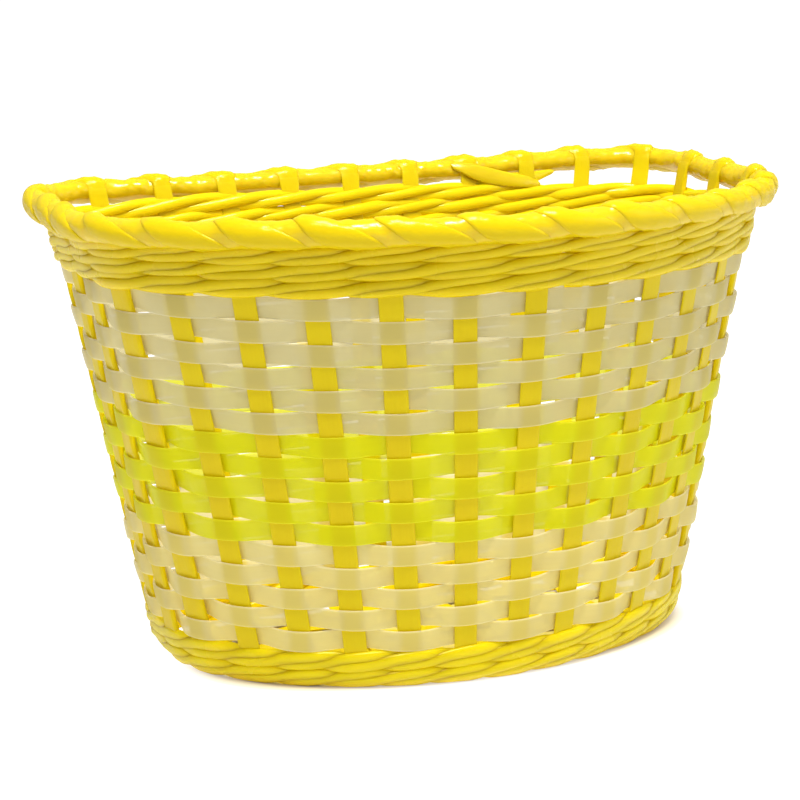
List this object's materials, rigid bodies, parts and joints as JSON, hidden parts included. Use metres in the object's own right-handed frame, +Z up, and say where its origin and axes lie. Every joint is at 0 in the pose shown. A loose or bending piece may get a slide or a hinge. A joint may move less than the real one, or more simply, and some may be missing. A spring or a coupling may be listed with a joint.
{
  "type": "woven plastic basket",
  "caption": "D-shaped open basket woven from flat plastic strips and round canes, flat back, bowed front, tapering to a smaller woven base, with a strip-wrapped rim.",
  "frame": {"origin": "on the resting plane, under the middle of the basket's overall width and depth", "axes": "+Z up through the open top, +X along the width, -Y out of the bowed front, +Y out of the flat back"},
  "size_m": [0.2502, 0.1598, 0.1532],
  "materials": {
    "stake_strip": "golden yellow flat strip, satin",
    "cane": "golden yellow round cane, glossy",
    "rim_strip": "yellow strip wound tight, glossy",
    "rim_rod": "yellow rod hidden under the wrap",
    "white_strip": "milky translucent flat strip, satin",
    "neon_strip": "neon yellow translucent flat strip, satin"
  },
  "bodies": {
    "root": {"stake_side_1": "stake_strip", "stake_side_2": "stake_strip", "stake_side_3": "stake_strip", "stake_side_4": "stake_strip", "stake_back_01": "stake_strip", "stake_back_02": "stake_strip", "stake_back_03": "stake_strip", "stake_back_04": "stake_strip", "stake_back_05": "stake_strip", "stake_back_06": "stake_strip", "stake_back_07": "stake_strip", "stake_back_08": "stake_strip", "stake_back_09": "stake_strip", "stake_back_10": "stake_strip", "weaver_01": "white_strip", "weaver_02": "white_strip", "weaver_03": "white_strip", "weaver_04": "white_strip", "weaver_05": "white_strip", "weaver_06": "white_strip", "weaver_07": "neon_strip", "weaver_08": "neon_strip", "weaver_09": "neon_strip", "weaver_10": "neon_strip", "weaver_11": "neon_strip", "weaver_12": "white_strip", "weaver_13": "white_strip", "weaver_14": "white_strip", "weaver_15": "white_strip", "weaver_16": "white_strip", "foot_wale_1": "cane", "foot_wale_2": "cane", "top_wale_1": "cane", "top_wale_2": "cane", "top_wale_3": "cane", "rim_core": "rim_rod", "rim_wrap": "rim_strip"}
  },
  "joints": []
}
